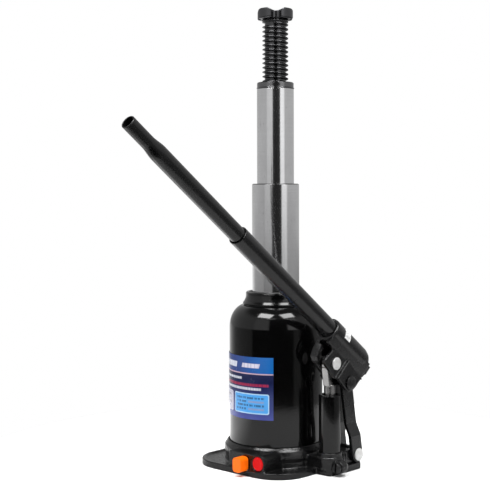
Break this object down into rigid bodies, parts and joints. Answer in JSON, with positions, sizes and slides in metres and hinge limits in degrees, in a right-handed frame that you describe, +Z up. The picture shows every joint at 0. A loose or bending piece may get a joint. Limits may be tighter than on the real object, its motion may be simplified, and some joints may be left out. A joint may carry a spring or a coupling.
{
  "type": "bottle jack",
  "caption": "Two-stage telescoping hydraulic bottle jack with an extension screw, side pump, link-driven handle socket, two-piece handle and release valve.",
  "frame": {"origin": "on the ram axis at the underside of the base", "axes": "+Z up along the rams; -Y the valve face, towards which the handle points; +X the pump side"},
  "size_m": [0.163, 0.3314, 0.4835],
  "materials": {
    "cast_enamel": "black enamel over a sand casting, slightly rough",
    "black_enamel": "gloss black enamel",
    "satin_black": "satin black coating",
    "handle_black": "satin black coating with worn ends",
    "ground_steel": "ground and polished steel with fine turning marks",
    "turned_steel": "turned steel",
    "dark_steel": "oiled grey steel",
    "zinc": "bright zinc plating",
    "seal_rubber": "matt black nitrile rubber",
    "orange_plastic": "moulded orange plastic",
    "red_plastic": "moulded red plastic",
    "label_film": "printed blue film",
    "white_film": "white paper film"
  },
  "bodies": {
    "base": {"base_casting": "cast_enamel", "reservoir_casing": "black_enamel", "top_nut": "black_enamel", "pump_cylinder": "black_enamel", "casing_gasket": "seal_rubber", "top_gasket": "seal_rubber", "ram_wiper": "seal_rubber", "oil_filler_plug": "seal_rubber", "cylinder_washer": "turned_steel", "main_cylinder": "ground_steel", "pump_gland_seal": "seal_rubber", "suction_check_ball": "zinc", "lower_pin": "zinc", "lower_pin_clip": "zinc", "release_valve_ball": "zinc", "overload_valve_ball": "zinc", "overload_spring": "turned_steel", "overload_adjuster": "turned_steel", "overload_cap": "orange_plastic", "passage_plug": "red_plastic", "casing_label": "label_film"},
    "lower_stage": {"lower_ram": "ground_steel", "lower_piston_head": "turned_steel", "lower_cup_seal": "seal_rubber", "stage_bush": "turned_steel"},
    "upper_stage": {"upper_ram": "ground_steel", "upper_cup_seal": "seal_rubber", "ram_collar": "satin_black"},
    "screw_ring": {"screw_stop_ring": "turned_steel"},
    "screw": {"extension_screw": "dark_steel", "saddle": "dark_steel"},
    "plunger": {"pump_plunger": "ground_steel", "plunger_cup_seal": "seal_rubber"},
    "socket": {"handle_socket": "satin_black", "plunger_pin": "zinc", "plunger_pin_clip": "zinc", "socket_sticker": "white_film"},
    "link": {"link_plate_left": "satin_black", "link_plate_right": "satin_black", "upper_pin": "satin_black", "upper_pin_clip": "zinc"},
    "handle_lower_body": {"handle_lower": "handle_black"},
    "handle_upper_body": {"handle_upper": "handle_black"},
    "release_spindle": {"release_valve": "turned_steel", "release_valve_o_ring": "seal_rubber"}
  },
  "joints": [
    {"name": "lower_ram_slide", "type": "slide", "parent": "base", "child": "lower_stage", "axis": [0, 0, 1], "range_m": [-0.111, 0]},
    {"name": "upper_ram_slide", "type": "slide", "parent": "lower_stage", "child": "upper_stage", "axis": [0, 0, 1], "range_m": [-0.1, 0]},
    {"name": "screw_travel", "type": "slide", "parent": "upper_stage", "child": "screw_ring", "axis": [0, 0, 1], "range_m": [-0.065, 0]},
    {"name": "screw_turn", "type": "hinge", "parent": "screw_ring", "child": "screw", "pos_m": [0, 0, 0.43], "axis": [0, 0, 1], "range_deg": [-4960, 40]},
    {"name": "plunger_slide", "type": "slide", "parent": "base", "child": "plunger", "axis": [0, 0, 1], "range_m": [-0.0145, 0.0033]},
    {"name": "socket_hinge", "type": "hinge", "parent": "plunger", "child": "socket", "pos_m": [0.074, 0, 0.1132], "axis": [1, 0, 0], "range_deg": [-8, 38]},
    {"name": "link_hinge", "type": "hinge", "parent": "base", "child": "link", "pos_m": [0.074, 0.0315, 0.0158], "axis": [1, 0, 0], "range_deg": [-8.5, 1.9]},
    {"name": "handle_pull", "type": "slide", "parent": "socket", "child": "handle_lower_body", "axis": [0, -0.8007, 0.599], "range_m": [0, 0.045]},
    {"name": "handle_extension_pull", "type": "slide", "parent": "handle_lower_body", "child": "handle_upper_body", "axis": [0, -0.8007, 0.599], "range_m": [0, 0.035]},
    {"name": "release_turn", "type": "hinge", "parent": "base", "child": "release_spindle", "pos_m": [0.0905, -0.0073, 0.0093], "axis": [0, -1, 0], "range_deg": [0, 540]}
  ],
  "couplings": [
    {"joint": "screw_turn", "follows": "screw_travel", "rad_per_m": 1309},
    {"joint": "plunger_slide", "follows": "socket_hinge", "m_per_rad": -0.021237},
    {"joint": "link_hinge", "follows": "socket_hinge", "ratio": -0.2128}
  ]
}
